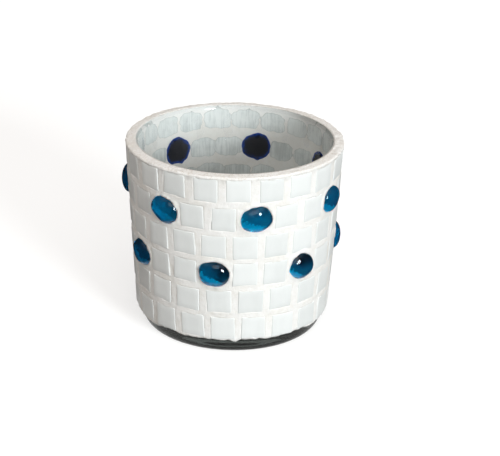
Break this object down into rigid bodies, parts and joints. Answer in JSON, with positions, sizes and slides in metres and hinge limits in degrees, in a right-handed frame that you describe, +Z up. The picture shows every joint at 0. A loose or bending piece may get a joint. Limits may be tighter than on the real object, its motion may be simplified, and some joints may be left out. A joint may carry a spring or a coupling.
{
  "type": "votive candle holder",
  "caption": "Tapered glass votive cup covered in white mosaic tiles and grout, with two rings of blue glass gems; it holds a votive candle or tealight.",
  "frame": {"origin": "centre of the flat foot that the cup stands on", "axes": "+Z up along the cup's axis, out of its mouth; -Y is the front that the picture shows"},
  "size_m": [0.0899, 0.0898, 0.0786],
  "materials": {
    "clear_glass": "clear, polished, faint green",
    "blue_glass": "deep blue, fire-polished",
    "white_tile": "white glass mosaic, satin gloss",
    "white_grout": "matt, fine sand",
    "tile_adhesive": "pale grey-white, matt",
    "clear_adhesive": "clear"
  },
  "bodies": {
    "root": {"gem_adhesive_lower": "clear_adhesive", "gem_adhesive_upper": "clear_adhesive", "gem_lower_1": "blue_glass", "gem_lower_2": "blue_glass", "gem_lower_3": "blue_glass", "gem_lower_4": "blue_glass", "gem_lower_5": "blue_glass", "gem_lower_6": "blue_glass", "gem_lower_7": "blue_glass", "gem_upper_1": "blue_glass", "gem_upper_2": "blue_glass", "gem_upper_3": "blue_glass", "gem_upper_4": "blue_glass", "gem_upper_5": "blue_glass", "gem_upper_6": "blue_glass", "gem_upper_7": "blue_glass", "glass_cup": "clear_glass", "grout": "white_grout", "tile_adhesive_row_1": "tile_adhesive", "tile_adhesive_row_2": "tile_adhesive", "tile_adhesive_row_3": "tile_adhesive", "tile_adhesive_row_4": "tile_adhesive", "tile_adhesive_row_5": "tile_adhesive", "tile_adhesive_row_6": "tile_adhesive", "tile_row_1": "white_tile", "tile_row_2": "white_tile", "tile_row_3": "white_tile", "tile_row_4": "white_tile", "tile_row_5": "white_tile", "tile_row_6": "white_tile"}
  },
  "joints": []
}
